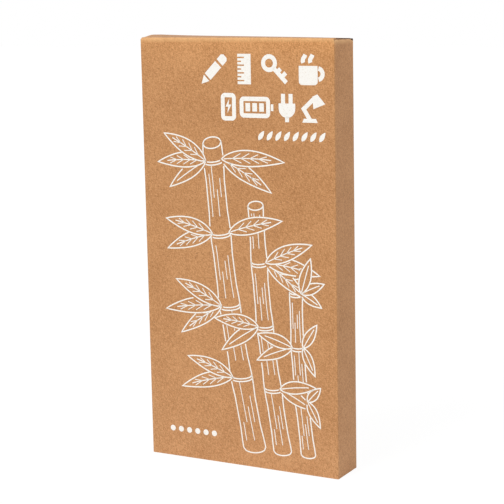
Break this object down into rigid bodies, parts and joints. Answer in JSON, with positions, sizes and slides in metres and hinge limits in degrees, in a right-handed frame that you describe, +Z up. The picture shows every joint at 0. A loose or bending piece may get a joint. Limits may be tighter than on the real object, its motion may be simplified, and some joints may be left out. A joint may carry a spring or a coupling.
{
  "type": "boxed desk organizer with wireless charger",
  "caption": "Slim kraft carton with a tuck lid; its sleeve lifts off an insert tray that holds a bamboo desk organizer with a wireless charger under the middle platform.",
  "frame": {"origin": "centre of the carton's base, on the surface that it stands on", "axes": "+Z up along the carton's height, +X to the right of the printed front, front facing -Y"},
  "size_m": [0.135, 0.027, 0.27],
  "materials": {
    "bamboo": "satin",
    "kraft_board": "matte",
    "insert_board": "matte",
    "black_rubber": "matte",
    "black_plastic": "matte",
    "steel": "satin",
    "circuit_green": "satin",
    "ferrite_grey": "matte",
    "capacitor_tan": "satin",
    "copper": "satin",
    "foam_white": "matte",
    "clear_plastic": "gloss"
  },
  "bodies": {
    "insert_and_organizer": {"bamboo_body": "bamboo", "rubber_feet": "black_rubber", "charger_cover": "black_plastic", "cover_screws": "steel", "circuit_board": "circuit_green", "circuit_screws": "steel", "controller_chip": "black_plastic", "power_inductor": "ferrite_grey", "resonant_capacitors": "capacitor_tan", "usb_shell": "steel", "usb_contact_tongue": "black_plastic", "status_led": "clear_plastic", "light_pipe": "clear_plastic", "coil_tray": "black_plastic", "ferrite_sheet": "ferrite_grey", "charging_coil": "copper", "coil_leads": "copper", "coil_pad": "foam_white", "insert_back": "insert_board", "insert_base": "insert_board", "insert_top_end": "insert_board", "insert_side_left": "insert_board", "insert_side_right": "insert_board"},
    "sleeve": {"front_panel": "kraft_board", "back_panel": "kraft_board", "left_panel": "kraft_board", "right_panel": "kraft_board", "glue_flap": "kraft_board"},
    "lid": {"lid_panel": "kraft_board", "tuck_tongue": "kraft_board"},
    "dust_flap_left_body": {"dust_flap_left": "kraft_board"},
    "dust_flap_right_body": {"dust_flap_right": "kraft_board"}
  },
  "joints": [
    {"name": "sleeve_lift", "type": "slide", "parent": "insert_and_organizer", "child": "sleeve", "axis": [0, 0, 1], "range_m": [0, 0.262]},
    {"name": "lid_hinge", "type": "hinge", "parent": "sleeve", "child": "lid", "pos_m": [0, -0.0135, 0.2688], "axis": [1, 0, 0], "range_deg": [0, 170]},
    {"name": "dust_flap_left_hinge", "type": "hinge", "parent": "sleeve", "child": "dust_flap_left_body", "pos_m": [-0.0675, 0, 0.2673], "axis": [0, -1, 0], "range_deg": [0, 59.5]},
    {"name": "dust_flap_right_hinge", "type": "hinge", "parent": "sleeve", "child": "dust_flap_right_body", "pos_m": [0.0675, 0, 0.2673], "axis": [0, 1, 0], "range_deg": [0, 59.5]}
  ],
  "couplings": [
    {"joint": "dust_flap_left_hinge", "follows": "lid_hinge", "ratio": 0.35},
    {"joint": "dust_flap_right_hinge", "follows": "lid_hinge", "ratio": 0.35}
  ]
}
